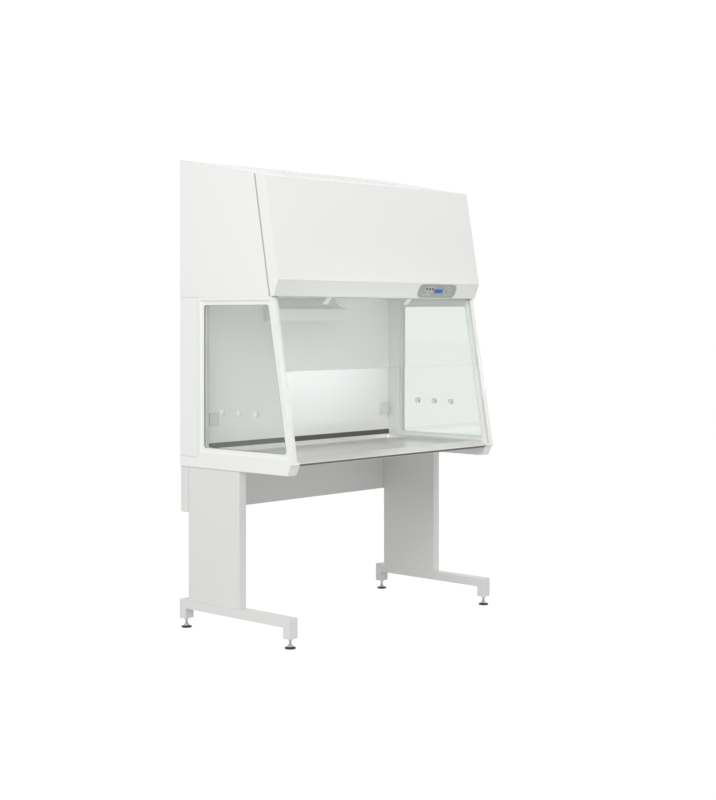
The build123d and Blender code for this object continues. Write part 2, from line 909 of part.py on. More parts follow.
under_roof = roof_plane.offset(-sheet)
with BuildPart() as roof_panel:
    roof_front = hinge_y + seam / 2
    roof_rear = cabinet_rear + sheet
    with BuildSketch(Plane.YZ.offset(-half)):
        outline(
            [
                (roof_front, roof_z(roof_front)),
                (roof_rear, roof_z(roof_rear)),
                (roof_rear, roof_z(roof_rear) - roof_drop),
                (roof_front, roof_z(roof_front) - roof_drop),
            ]
        )
    extrude(amount=width)
    with BuildSketch(roof_plane):
        Rectangle(grille_width - 2 * grille_border, grille_length - 2 * grille_border)
    extrude(amount=-3 * sheet, both=True, mode=Mode.SUBTRACT)
    with BuildSketch(Plane.XY.offset(hinge_z + knuckle_radius)):
        with Locations((-hinge_spread, hinge_y), (hinge_spread, hinge_y)):
            Rectangle(*notch)
    extrude(amount=-3 * knuckle_radius, mode=Mode.SUBTRACT)
    add(roof_leaves)
    # Two angle rails hold the prefilter up against the opening
    for sign in (-1, 1):
        rail_x = sign * (grille_width / 2 + fit)
        outward = Align.MIN if sign > 0 else Align.MAX
        with BuildSketch(under_roof):
            with Locations((rail_x, 0)):
                Rectangle(sheet, grille_length, align=(outward, Align.CENTER))
        extrude(amount=-prefilter_thickness - fit)
        with BuildSketch(under_roof.offset(-prefilter_thickness - fit)):
            with Locations((rail_x + sign * (sheet - prefilter_rail), 0)):
                Rectangle(prefilter_rail, grille_length, align=(outward, Align.CENTER))
        extrude(amount=-sheet)
save(roof_panel, "roof_panel")

with BuildPart() as intake_grille:
    with BuildSketch(roof_plane):
        Rectangle(grille_width, grille_length)
        with GridLocations(
            (grille_width - 3 * grille_border) / hole_columns,
            (grille_length - 3 * grille_border) / hole_rows,
            hole_columns,
            hole_rows,
        ):
            RegularPolygon(hole_radius, 6, mode=Mode.SUBTRACT)
    extrude(amount=sheet)
save(intake_grille, "intake_grille")

with BuildPart() as prefilter:
    with BuildSketch(under_roof):
        Rectangle(grille_width, grille_length)
    extrude(amount=-prefilter_thickness)
save(prefilter, "prefilter")

cover_bottom = hood_bottom + seam
low_y = chin_y + (crease_y - chin_y) * seam / chamfer_height


def cover_points(back):
    """Front cover's section, with its open rear edge moved back."""
    top_y = hinge_y - seam / 2 + back
    return [
        (low_y, cover_bottom),
        (crease_y, crease_z),
        (face_top_y, face_top),
        (top_y, roof_z(top_y)),
        (seam_y(cover_bottom) - seam / 2 + back, cover_bottom),
    ]


with BuildPart() as front_cover:
    with BuildSketch(Plane.YZ.offset(-half)):
        outline(cover_points(0))
    extrude(amount=width)
    with BuildSketch(Plane.YZ.offset(-half + sheet)):
        outline(cover_points(2 * sheet))
        offset(amount=-sheet, kind=Kind.INTERSECTION)
        with Locations((low_y + cover_lip, cover_bottom)):
            Rectangle(cover_depth, 2 * sheet, align=(Align.MIN, Align.CENTER))
    extrude(amount=width - 2 * sheet, mode=Mode.SUBTRACT)
    with BuildSketch(chamfer_plane):
        with Locations((0, box_rise)):
            Rectangle(panel_length - 2 * panel_round, box_height - 2 * sheet)
    extrude(amount=-2 * sheet, both=True, mode=Mode.SUBTRACT)
    with BuildSketch(Plane.XY.offset(hinge_z + knuckle_radius)):
        with Locations((-hinge_spread, hinge_y), (hinge_spread, hinge_y)):
            Rectangle(*notch)
    extrude(amount=-3 * knuckle_radius, mode=Mode.SUBTRACT)
    add(cover_leaves)
save(front_cover, "front_cover")

# Air path: shelf, filter, diffuser, front bulkhead, fan deck and fan
filter_front = shelf_front + filter_margin
filter_rear = shelf_rear - filter_margin
filter_half = panel_half - filter_margin
filter_y = (filter_front + filter_rear) / 2
opening_half = panel_half - filter_opening_margin
opening_length = filter_rear - filter_front - 2 * (filter_opening_margin - filter_margin)
with BuildPart() as filter_shelf:
    with BuildSketch(Plane.XY.offset(shelf_bottom)):
        with Locations((0, (shelf_front + shelf_rear) / 2)):
            Rectangle(2 * panel_half, shelf_rear - shelf_front)
        with Locations((0, filter_y)):
            Rectangle(2 * opening_half, opening_length, mode=Mode.SUBTRACT)
    extrude(amount=shelf_sheet)
save(filter_shelf, "filter_shelf")

with BuildPart() as filter_frame:
    with BuildSketch(Plane.XY.offset(shelf_top)):
        with Locations((0, filter_y)):
            Rectangle(2 * filter_half, filter_rear - filter_front)
            Rectangle(
                2 * (filter_half - filter_wall),
                filter_rear - filter_front - 2 * filter_wall,
                mode=Mode.SUBTRACT,
            )
    extrude(amount=filter_height)
save(filter_frame, "filter_frame")

pleat_half = filter_half - filter_wall - fit
pleat_length = filter_rear - filter_front - 2 * filter_wall - 2 * fit
pleat_step = 2 * pleat_half / pleat_count
pleat_low = shelf_top + pleat_sheet
pleat_high = shelf_top + filter_height - 2 * pleat_sheet
zigzag = [
    (-pleat_half + pleat_step * count / 2, pleat_high if count % 2 else pleat_low)
    for count in range(2 * pleat_count + 1)
]
with BuildPart() as filter_pleats:
    with BuildSketch(Plane.XZ.offset(-(filter_y + pleat_length / 2))):
        outline(zigzag + [(x, z + pleat_sheet) for x, z in reversed(zigzag)])
    extrude(amount=pleat_length)
save(filter_pleats, "filter_pleats")

# The diffuser's two finger tabs are bent down from its sheet
with BuildPart() as diffuser:
    diffuser_half = inner_x - flange + sheet
    tab_y = shelf_front + tab_set_back
    with BuildSketch(Plane.XY.offset(hood_bottom)):
        with Locations((0, (shelf_front + wall_y) / 2)):
            Rectangle(2 * diffuser_half, wall_y - shelf_front - 2 * fit)
    extrude(amount=sheet)
    for sign in (-1, 1):
        with BuildSketch(Plane.YZ.offset(sign * tab_spread - tab_width / 2)):
            outline(
                [
                    (tab_y - sheet, hood_bottom),
                    (tab_y + sheet, hood_bottom),
                    (tab_y + tab_drop, hood_bottom - tab_drop + sheet),
                    (tab_y + tab_drop - sheet, hood_bottom - tab_drop),
                ]
            )
        extrude(amount=tab_width)
save(diffuser, "diffuser")

# The bulkhead stops just under the flanges that carry the roof
bulkhead_foot_y = post_front(hood_bottom) + bulkhead_depth * lean_cos
bulkhead_head = (
    face_top
    - hood_bottom
    - 2 * roof_drop
    - fit
    + (bulkhead_foot_y - face_top_y) * rise
    + bulkhead_depth * lean_sin
) / (lean_cos - lean_sin * rise)
with BuildPart() as front_bulkhead:
    with BuildSketch(bulkhead):
        with Locations((0, guide_low_s)):
            Rectangle(2 * panel_half, bulkhead_head - guide_low_s, align=(Align.CENTER, Align.MIN))
    extrude(amount=-sheet)
save(front_bulkhead, "front_bulkhead")

# Fan deck with its pressed inlet nozzle
deck_bottom = hood_bottom + deck_height
deck_front = post_front(deck_bottom + sheet) + bulkhead_back / lean_cos + fit
nozzle_radius = impeller_inlet - sheet - fit
with BuildPart() as fan_deck:
    with BuildSketch(Plane.XY.offset(deck_bottom)):
        with Locations((0, (deck_front + shelf_rear) / 2)):
            Rectangle(2 * panel_half, shelf_rear - deck_front)
        with Locations((0, fan_place)):
            Circle(nozzle_radius, mode=Mode.SUBTRACT)
    extrude(amount=sheet)
    with BuildSketch(Plane.XY.offset(deck_bottom)):
        with Locations((0, fan_place)):
            Circle(nozzle_radius + sheet)
            Circle(nozzle_radius, mode=Mode.SUBTRACT)
    extrude(amount=-inlet_overlap)
save(fan_deck, "fan_deck")

wheel_top = deck_bottom - inlet_overlap / 2
wheel_bottom = wheel_top - impeller_height
motor_bottom = wheel_bottom - sheet - motor_height
with BuildPart() as fan_impeller:
    with BuildSketch(Plane.XY.offset(wheel_bottom)):
        with Locations((0, fan_place)):
            Circle(impeller_radius)
            Circle(shaft_radius + running, mode=Mode.SUBTRACT)
    extrude(amount=sheet)
    with BuildSketch(Plane.XY.offset(wheel_bottom + sheet)):
        with Locations((0, fan_place)):
            Circle(3 * shaft_radius)
            Circle(shaft_radius + running, mode=Mode.SUBTRACT)
    extrude(amount=2 * shaft_radius)
    with BuildSketch(Plane.XY.offset(wheel_bottom + sheet)):
        with Locations(Pos(0, fan_place)):
            with PolarLocations((impeller_inlet + impeller_radius) / 2, blade_count):
                Rectangle(impeller_radius - impeller_inlet, blade_thickness, rotation=blade_angle)
    extrude(amount=impeller_height - 2 * sheet)
    with BuildSketch(Plane.XY.offset(wheel_top - sheet)):
        with Locations((0, fan_place)):
            Circle(impeller_radius)
            Circle(impeller_inlet, mode=Mode.SUBTRACT)
    extrude(amount=sheet)
save(fan_impeller, "fan_impeller")

with BuildPart() as fan_motor:
    with BuildSketch(Plane.XY.offset(motor_bottom)):
        with Locations((0, fan_place)):
            Circle(motor_radius)
    extrude(amount=motor_height)
    fillet(fan_motor.edges().sort_by(Axis.Z)[-1], 2 * sheet)
    with BuildSketch(Plane.XY.offset(motor_bottom + motor_height)):
        with Locations((0, fan_place)):
            Circle(shaft_radius)
    extrude(amount=sheet + 3 * shaft_radius)
save(fan_motor, "fan_motor")

with BuildPart() as fan_bracket:
    with BuildSketch(Plane.XY.offset(motor_bottom - bracket_sheet)):
        with Locations((0, fan_place)):
            Rectangle(2 * bracket_spread + bracket_leg, 3 * bracket_leg)
            Rectangle(3 * bracket_leg, 2 * bracket_spread + bracket_leg)
    extrude(amount=bracket_sheet)
    with BuildSketch(Plane.XY.offset(motor_bottom)):
        with Locations(
            (-bracket_spread, fan_place),
            (bracket_spread, fan_place),
            (0, fan_place - bracket_spread),
            (0, fan_place + bracket_spread),
        ):
            Rectangle(bracket_leg, bracket_leg)
    extrude(amount=deck_bottom - motor_bottom)
save(fan_bracket, "fan_bracket")

# Control panel: plate, keypad field with six keys, display and round button
key_offsets = [
    (key_pitch_x * column + key_stagger * row - key_stagger / 2, key_pitch_y * (row - 0.5))
    for row in (1, 0)
    for column in (-1, 0, 1)
]
key_names = ("lamp", "light", "stop", "fan", "timer", "power")
plate_front = chamfer_plane.offset(panel_thickness)
with BuildSketch() as keypad_shape:
    outline(
        [
            (-keypad_length / 2 - keypad_slant / 2, -keypad_height / 2),
            (keypad_length / 2 - keypad_slant / 2, -keypad_height / 2),
            (keypad_length / 2 + keypad_slant / 2, keypad_height / 2),
            (-keypad_length / 2 + keypad_slant / 2, keypad_height / 2),
        ]
    )

with BuildPart() as control_plate:
    with BuildSketch(chamfer_plane):
        RectangleRounded(panel_length, panel_height, panel_round)
    extrude(amount=panel_thickness)
    with BuildSketch(plate_front):
        with Locations((keypad_centre, 0)):
            add(keypad_shape.sketch)
        with Locations((display_centre, 0)):
            Rectangle(display_length, display_height)
        with Locations((button_centre, 0)):
            Circle(button_ring_radius)
    extrude(amount=-inlay, mode=Mode.SUBTRACT)
    with BuildSketch(plate_front):
        with Locations((keypad_centre, 0)):
            with Locations(*key_offsets):
                Rectangle(key_size - 2 * key_round, key_size - 2 * key_round)
        with Locations((button_centre, 0)):
            Circle(button_radius + key_gap)
    extrude(amount=-panel_thickness, mode=Mode.SUBTRACT)
save(control_plate, "control_plate")

with BuildPart() as keypad_field:
    with BuildSketch(plate_front.offset(-inlay)):
        with Locations((keypad_centre, 0)):
            add(keypad_shape.sketch)
            with Locations(*key_offsets):
                RectangleRounded(
                    key_size + 2 * key_gap,
                    key_size + 2 * key_gap,
                    key_round + key_gap,
                    mode=Mode.SUBTRACT,
                )
    extrude(amount=inlay)
save(keypad_field, "keypad_field")

stem = key_size - 2 * key_round - 2 * key_gap
for name, offset_xy in zip(key_names, key_offsets):
    with BuildPart() as key:
        with BuildSketch(plate_front.offset(-inlay + key_travel + key_float)):
            with Locations((keypad_centre + offset_xy[0], offset_xy[1])):
                RectangleRounded(key_size, key_size, key_round)
        extrude(amount=key_proud)
        with BuildSketch(plate_front.offset(-inlay + key_travel + key_float)):
            with Locations((keypad_centre + offset_xy[0], offset_xy[1])):
                Rectangle(stem, stem)
        extrude(amount=-2 * panel_thickness)
    save(key, f"{name}_key")

with BuildPart() as display:
    with BuildSketch(plate_front.offset(-inlay)):
        with Locations((display_centre, 0)):
            Rectangle(display_length, display_height)
    extrude(amount=inlay)
save(display, "display")

with BuildPart() as button_ring:
    with BuildSketch(plate_front.offset(-inlay)):
        with Locations((button_centre, 0)):
            Circle(button_ring_radius)
            Circle(button_radius + key_gap, mode=Mode.SUBTRACT)
    extrude(amount=inlay + key_proud / 2)
save(button_ring, "button_ring")

with BuildPart() as round_button:
    with BuildSketch(plate_front.offset(-panel_thickness)):
        with Locations((button_centre, 0)):
            Circle(button_radius)
    extrude(amount=panel_thickness + key_proud + button_travel)
save(round_button, "round_button")

with BuildPart() as control_box:
    box_length = panel_length - panel_round
    with BuildSketch(chamfer_plane.offset(-sheet)):
        with Locations((0, box_rise)):
            Rectangle(box_length, box_height)
    extrude(amount=-backing_depth)
    with BuildSketch(chamfer_plane.offset(-sheet)):
        with Locations((0, box_rise)):
            Rectangle(box_length - 2 * sheet, box_height - 2 * sheet)
    extrude(amount=-backing_depth + sheet, mode=Mode.SUBTRACT)
save(control_box, "control_box")
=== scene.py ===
"""Looks of the laminar flow hood: finishes, window gaskets, strips of painted shade, screws, key faces,
floor, light and camera.
"""

from math import cos, pi, radians, sin, tan

import bmesh
import bpy
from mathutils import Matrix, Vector


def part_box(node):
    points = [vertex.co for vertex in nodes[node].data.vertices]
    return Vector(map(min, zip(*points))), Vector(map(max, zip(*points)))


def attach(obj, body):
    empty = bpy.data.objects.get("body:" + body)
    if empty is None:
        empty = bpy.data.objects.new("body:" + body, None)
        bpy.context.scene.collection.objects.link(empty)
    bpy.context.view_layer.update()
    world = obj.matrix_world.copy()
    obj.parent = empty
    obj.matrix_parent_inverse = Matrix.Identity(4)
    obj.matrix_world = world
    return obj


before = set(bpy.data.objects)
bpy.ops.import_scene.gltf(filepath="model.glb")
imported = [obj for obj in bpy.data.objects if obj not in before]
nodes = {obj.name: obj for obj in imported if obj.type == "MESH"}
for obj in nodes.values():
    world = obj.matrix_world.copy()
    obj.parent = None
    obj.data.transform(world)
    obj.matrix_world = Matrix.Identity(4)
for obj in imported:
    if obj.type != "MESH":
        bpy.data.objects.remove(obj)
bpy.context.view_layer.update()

MM = 0.001

# Camera, matched to the photograph by a fit to the object's straight edges
PHOTO_HEIGHT = 800
FOCAL_PX = 1513.13
HORIZON_ROW = 317.21
CAMERA_YAW = radians(47.5606)
CAMERA_PLACE = Vector((-5.0343, -4.70265, 1.35779))
SENSOR = 36.0

# Colours, linear
WHITE_PAINT = (0.86, 0.87, 0.85)
FRAME_PAINT = (0.87, 0.88, 0.86)
STAND_PAINT = (0.76, 0.77, 0.75)
CHAMBER_PAINT = (0.92, 0.93, 0.92)
STEEL = (0.8, 0.8, 0.785)
GALVANISED = (0.6, 0.62, 0.62)
SIDE_TINT = (0.815, 0.84, 0.82)
SASH_TINT = (0.955, 0.975, 0.96)
PANEL_GREY = (0.387, 0.411, 0.385)
KEYPAD_GREY = (0.6, 0.6, 0.63)
RUBBER_GREY = (0.16, 0.2, 0.15)
# Painted shade: dark strips on the worktop's rear upstand and under its nose
SHADE_STRIP_BROWN = (0.11, 0.1, 0.08)
# Painted shade: grey of the band in the gap along the hood panels' front edges
GAP_SHADE_GREY = (0.47, 0.48, 0.42)
NEAR_BLACK = (0.02, 0.02, 0.022)
ZINC = (0.55, 0.57, 0.55)
PALE_MARK = (0.75, 0.78, 0.76)
KEY_COLOURS = {
    "lamp_key": (0.09, 0.25, 0.03),
    "light_key": (0.03, 0.21, 0.38),
    "stop_key": (0.42, 0.03, 0.03),
    "fan_key": (0.04, 0.24, 0.42),
    "timer_key": (0.56, 0.42, 0.02),
    "power_key": (0.08, 0.3, 0.48),
}
KEY_SLOTS = {
    "lamp_key": "key_green",
    "light_key": "key_blue",
    "stop_key": "key_red",
    "fan_key": "key_blue_ring",
    "timer_key": "key_yellow",
    "power_key": "key_light_blue",
}

# Sizes shared with the solids, in millimetres
HALF = 670.0
CABINET_REAR = 343.75
TOE_Y = -351.25
SILL_TOP = 752.0
LEAN = tan(radians(10.0))
WINDOW_LOW = 795.0
WINDOW_HIGH = 1409.5
WINDOW_REAR = 192.25
WINDOW_AHEAD = 32.0
WINDOW_ROUND = 12.0
WORKTOP_REAR = 265.45
RIM_TOP = 779.0
UPSTAND_RISE = 24.5
NOSE_Y = -342.25
NOSE_LOW = 755.0
# Width of the band of painted shade along the hood panels' front edge
GAP_SHADE_WIDTH = 7.0
PANEL_ORIGIN = (371.0, -254.28, 1478.75)
CHAMFER = (69.5, 28.0)
PLATE_THICKNESS = 3.0
PLATE_SIZE = (268.0, 65.0)
PLATE_ROUND = 26.0
KEYPAD_CENTRE = -63.0
KEY_PITCH = (21.0, 19.5)
KEY_STAGGER = 9.0
KEY_TOP = 1.1
DISPLAY_CENTRE = 7.0
DISPLAY_SIZE = (58.0, 16.0)
BUTTON_CENTRE = 73.0
BUTTON_TOP = 3.6
RING_TOP = 0.8
FOOT_PAD_TOP = 8.6
BACK_SHEET = 2.0

# Sizes of the pieces added here, in millimetres
GASKET_DEPTH = (6.0, 12.0)
GASKET_THICKNESS = 1.2
GASKET_FIT = 0.05
# Strips of painted shade on the worktop's rear upstand and under its nose
UPSTAND_SHADE_HALF = 626.0
UPSTAND_SHADE_LIFT = 1.0
UPSTAND_SHADE_THICKNESS = 0.6
NOSE_SHADE_HALF = 619.0
NOSE_SHADE_BEHIND = (1.5, 4.0)
NOSE_SHADE_DROP = 8.0
MARK_SINK = 0.1
MARK_RISE = 0.25
MARK_ROUND = 0.4
DOT_RADIUS = 1.6
BAR_HALF = (2.6, 0.5)
SQUARE_HALF = (1.6, 1.6)
OVAL_HALF = (3.4, 3.0)
OVAL_ROUND = 2.4
BEZEL_REACH = 1.8
BEZEL_LAP = 0.4
BEZEL_ROUND = 1.2
BEZEL_HEIGHTS = (0.02, 0.5)
RIM_REACH = 4.2
RIM_GAP = 0.15
RIM_HEIGHTS = (-2.95, -1.2)
GROOVE_RADII = (17.0, 12.5)
GROOVE_HEIGHTS = (-0.05, 0.25)
CAP_PROFILE = [(0, 1.2), (2.6, 1.1), (4.6, 0.6), (5.4, -0.05), (0, -0.05)]
CAP_SIDES = 4
FOOT_CONE = [(11.4, 9.9), (11.4, 11.5), (5.3, 19.0), (4.9, 19.0), (4.9, 9.9)]
SCREW_HEAD = [(0, 2.2), (1.6, 2.1), (3.0, 1.4), (3.7, 0.02), (0, 0.02)]
SCREW_SIDES = 20
RECESS_ARM = (1.7, 0.35)
RECESS_HEIGHTS = (2.1, 2.24)
LOWER_SCREW_SIDES = 622
LOWER_SCREW_ROWS = (775, 936, 1098, 1260, 1421)
LOWER_SCREW_COLUMNS = (-311, 0, 311)
LOWER_SCREW_ENDS = (770, 1426)
HOOD_SCREW_SIDES = 655
HOOD_SCREW_ROWS = (1480, 1655, 1830, 2005)
HOOD_SCREW_COLUMNS = (-393, -131, 131, 393)
HOOD_SCREW_ENDS = (1460, 2028)

# Orange peel of the powder coats
PEEL_SCALE = 650.0
PEEL_DEPTH = 0.02 * MM
PEEL_STRENGTH = 0.35

# Floor and surroundings
FLOOR_REACH = 60.0
FLOOR_WHITE = (0.68, 0.68, 0.68)
FLOOR_SEEN = 1.1
FLOOR_SHARE = 0.85
WORLD_SEEN = 1.05
WORLD_LIT = 0.68
WORLD_TINT = (1.0, 1.0, 0.99)


class Nodes:
    """Short names for the nodes of one material."""

    def __init__(self, name):
        self.material = bpy.data.materials.new(name)
        self.material.use_nodes = True
        self.tree = self.material.node_tree
        self.tree.nodes.clear()
        self.out = self.add("ShaderNodeOutputMaterial")
        self.place = self.add("ShaderNodeTexCoord").outputs["Object"]

    def add(self, kind, **settings):
        node = self.tree.nodes.new(kind)
        for key, value in settings.items():
            setattr(node, key, value)
        return node

    def join(self, source, target):
        self.tree.links.new(source, target)

    def noise(self, scale, detail=2.0, stretch=(1, 1, 1)):
        """Noise in object space, stretched along the axes."""
        mapping = self.add("ShaderNodeMapping")
        mapping.inputs["Scale"].default_value = stretch
        self.join(self.place, mapping.inputs["Vector"])
        noise = self.add("ShaderNodeTexNoise")
        noise.inputs["Scale"].default_value = scale
        noise.inputs["Detail"].default_value = detail
        self.join(mapping.outputs["Vector"], noise.inputs["Vector"])
        return noise.outputs["Fac"]

    def span(self, value, low, high):
        """The value, from 0..1 to low..high."""
        span = self.add("ShaderNodeMapRange")
        span.inputs["To Min"].default_value = low
        span.inputs["To Max"].default_value = high
        self.join(value, span.inputs["Value"])
        return span.outputs["Result"]

    def mix(self, factor, first, second):
        """Mix of two colours by a factor socket."""
        mix = self.add("ShaderNodeMix", data_type="RGBA")
        mix.inputs["A"].default_value = (*first, 1)
        mix.inputs["B"].default_value = (*second, 1)
        self.join(factor, mix.inputs["Factor"])
        return mix.outputs["Result"]

    def math(self, operation, first, second=0.0):
        """One sum; each term is a socket or a number."""
        node = self.add("ShaderNodeMath", operation=operation)
        for slot, term in enumerate((first, second)):
            if isinstance(term, (int, float)):
                node.inputs[slot].default_value = term
            else:
                self.join(term, node.inputs[slot])
        return node.outputs["Value"]

    def bump(self, height, distance, strength=1.0, normal=None):
        bump = self.add("ShaderNodeBump")
        bump.inputs["Distance"].default_value = distance
        bump.inputs["Strength"].default_value = strength
        self.join(height, bump.inputs["Height"])
        if normal is not None:
            self.join(normal, bump.inputs["Normal"])
        return bump.outputs["Normal"]

    def soft_edges(self, radius):
        """Normal that rounds the edges by this radius."""
        bevel = self.add("ShaderNodeBevel", samples=4)
        bevel.inputs["Radius"].default_value = radius
        return bevel.outputs["Normal"]

    def principled(self, colour, roughness, **values):
        """The material's main shader, linked to the output."""
        shader = self.add("ShaderNodeBsdfPrincipled")
        shader.inputs["Base Color"].default_value = (*colour, 1)
        shader.inputs["Roughness"].default_value = roughness
        for key, value in values.items():
            shader.inputs[key.replace("_", " ")].default_value = value
        self.join(shader.outputs["BSDF"], self.out.inputs["Surface"])
        return shader


def shade(colour, factor):
    """A colour made lighter or darker."""
    return tuple(min(1.0, part * factor) for part in colour)


def powder_coat(made, colour, gloss, edge):
    """Shader with fine orange peel, uneven gloss and rounded edges."""
    shader = made.principled(colour, gloss, IOR=1.45)
    made.join(made.span(made.noise(9.0), gloss - 0.05, gloss + 0.07), shader.inputs["Roughness"])
    peel = made.noise(PEEL_SCALE, 1.0)
    bump = made.bump(peel, PEEL_DEPTH, PEEL_STRENGTH, made.soft_edges(edge))
    made.join(bump, shader.inputs["Normal"])
    return shader


def paint(name, colour, edge=1.2 * MM, gloss=0.38):
    """Slightly cloudy powder coat."""
    made = Nodes(name)
    shader = powder_coat(made, colour, gloss, edge)
    cloud = made.mix(made.noise(3.0, 3.0), shade(colour, 0.985), shade(colour, 1.015))
    made.join(cloud, shader.inputs["Base Color"])
    return made.material


def shadow_gap_paint(name, colour, gap_shade_colour, corner_y, corner_z):
    """Powder coat with a grey band of painted shade along the hood panel's leaning front edge, standing for
    the shadow in the gap to the front cover.
    """
    made = Nodes(name)
    shader = powder_coat(made, colour, 0.38, 1.2 * MM)
    parts = made.add("ShaderNodeSeparateXYZ")
    made.join(made.place, parts.inputs["Vector"])
    behind = made.math("SUBTRACT", parts.outputs["Y"], made.math("MULTIPLY", parts.outputs["Z"], LEAN))
    # Painted shade: within this width of the leaning front edge the panel takes the darker grey
    in_gap_shade = made.math("LESS_THAN", behind, corner_y - corner_z * LEAN + GAP_SHADE_WIDTH * MM)
    made.join(made.mix(in_gap_shade, colour, gap_shade_colour), shader.inputs["Base Color"])
    return made.material


def brushed(name, colour, along, gloss=0.3, edge=0.8 * MM):
    """Brushed sheet: fine scratches along one axis, wider cloudy smears and rounded edges."""
    made = Nodes(name)
    shader = made.principled(colour, gloss, Metallic=1.0)
    stretch = [1.0 if axis == along else 60.0 for axis in range(3)]
    scratch = made.noise(14.0, 6.0, stretch)
    smear = made.noise(5.0, 3.0)
    made.join(made.mix(smear, shade(colour, 0.93), shade(colour, 1.07)), shader.inputs["Base Color"])
    made.join(made.span(scratch, gloss - 0.08, gloss + 0.12), shader.inputs["Roughness"])
    made.join(made.bump(scratch, 0.03 * MM, 0.4, made.soft_edges(edge)), shader.inputs["Normal"])
    return made.material


def spangled(name, colour):
    """Galvanised sheet with its crystal spangle."""
    made = Nodes(name)
    shader = made.principled(colour, 0.42, Metallic=0.9)
    crystal = made.add("ShaderNodeTexVoronoi")
    crystal.inputs["Scale"].default_value = 90.0
    made.join(made.place, crystal.inputs["Vector"])
    grey = made.add("ShaderNodeSeparateColor")
    made.join(crystal.outputs["Color"], grey.inputs["Color"])
    tone = made.mix(grey.outputs["Red"], shade(colour, 0.85), shade(colour, 1.1))
    made.join(tone, shader.inputs["Base Color"])
    made.join(made.span(grey.outputs["Green"], 0.35, 0.55), shader.inputs["Roughness"])
    return made.material


def moulded(name, colour, roughness=0.45, grain=400.0, edge=0.6 * MM, **values):
    """Moulded plastic or rubber: fine grain and rounded edges."""
    made = Nodes(name)
    shader = made.principled(colour, roughness, **values)
    tone = made.mix(made.noise(20.0), shade(colour, 0.96), shade(colour, 1.04))
    made.join(tone, shader.inputs["Base Color"])
    bump = made.bump(made.noise(grain, 3.0), 0.03 * MM, 0.3, made.soft_edges(edge))
    made.join(bump, shader.inputs["Normal"])
    return made.material


def clear_glass(name, tint, haze=0.012):
    """Pane that lets light through and still mirrors the room."""
    made = Nodes(name)
    shader = made.principled(tint, 0.0, IOR=1.5, Transmission_Weight=1.0)
    made.join(made.span(made.noise(6.0, 3.0), 0.0, haze), shader.inputs["Roughness"])
    through = made.add("ShaderNodeBsdfTransparent")
    through.inputs["Color"].default_value = (*[part ** 0.5 for part in tint], 1)
    path = made.add("ShaderNodeLightPath")
    mix = made.add("ShaderNodeMixShader")
    bounced = made.math("MAXIMUM", path.outputs["Is Shadow Ray"], path.outputs["Is Diffuse Ray"])
    made.join(bounced, mix.inputs["Fac"])
    made.join(shader.outputs["BSDF"], mix.inputs[1])
    made.join(through.outputs["BSDF"], mix.inputs[2])
    made.join(mix.outputs["Shader"], made.out.inputs["Surface"])
    return made.material


def levelling_foot_finish(name, pad_top):
    """Black moulded pad below, zinc plated stud with a fine thread above."""
    made = Nodes(name)
    shader = made.principled(NEAR_BLACK, 0.5)
    parts = made.add("ShaderNodeSeparateXYZ")
    made.join(made.place, parts.inputs["Vector"])
    above = made.math("GREATER_THAN", parts.outputs["Z"], pad_top)
    made.join(made.mix(above, NEAR_BLACK, ZINC), shader.inputs["Base Color"])
    made.join(above, shader.inputs["Metallic"])
    made.join(made.span(above, 0.5, 0.28), shader.inputs["Roughness"])
    pitch = 1.5 * MM
    turns = made.math("SINE", made.math("MULTIPLY", parts.outputs["Z"], 2 * pi / pitch))
    made.join(made.bump(made.math("MULTIPLY", turns, above), 0.25 * MM), shader.inputs["Normal"])
    return made.material


def glowing(name, colour, light):
    """Backlit display window under a satin cover."""
    made = Nodes(name)
    shader = made.principled(colour, 0.3, Specular_IOR_Level=0.2)
    shader.inputs["Emission Color"].default_value = (*colour, 1)
    shader.inputs["Emission Strength"].default_value = light
    cells = made.noise(900.0, 0.0)
    made.join(made.mix(cells, shade(colour, 0.85), shade(colour, 1.15)), shader.inputs["Base Color"])
    return made.material


def fleece(name, colour):
    """Loose fibre mat."""
    made = Nodes(name)
    shader = made.principled(colour, 0.95)
    fibre = made.noise(260.0, 8.0, (1, 3, 1))
    made.join(made.mix(fibre, shade(colour, 0.7), shade(colour, 1.1)), shader.inputs["Base Color"])
    made.join(made.bump(fibre, 1.0 * MM), shader.inputs["Normal"])
    return made.material


def dress(name, material):
    """Give a CAD node its one material."""
    slots = nodes[name].data.materials
    slots.clear()
    slots.append(material)


# Materials, and the nodes that each one covers
panel_low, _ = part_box("left_hood_panel")
white = paint("white_powder_coat", WHITE_PAINT)
# Hood side panels get a band of painted shade along their front edge
hood_side_white = shadow_gap_paint(
    "hood_side_powder_coat", WHITE_PAINT, GAP_SHADE_GREY, panel_low[1], panel_low[2]
)
frame_white = paint("frame_enamel", FRAME_PAINT, 2.0 * MM, 0.32)
stand_white = paint("stand_powder_coat", STAND_PAINT, 1.5 * MM, 0.42)
chamber_white = paint("chamber_powder_coat", CHAMBER_PAINT, 1.0 * MM, 0.36)
steel = brushed("brushed_stainless", STEEL, 0)
galvanised = spangled("galvanised_sheet", GALVANISED)
side_glass = clear_glass("side_pane_glass", SIDE_TINT)
sash_glass = clear_glass("sash_glass", SASH_TINT)
tube_glass = moulded("lamp_tube_glass", (0.8, 0.83, 0.85), 0.08, 50.0)
rubber = moulded("grey_rubber", RUBBER_GREY, 0.6)
bead_grey = moulded("glazing_bead_grey", (0.78, 0.81, 0.78), 0.45)
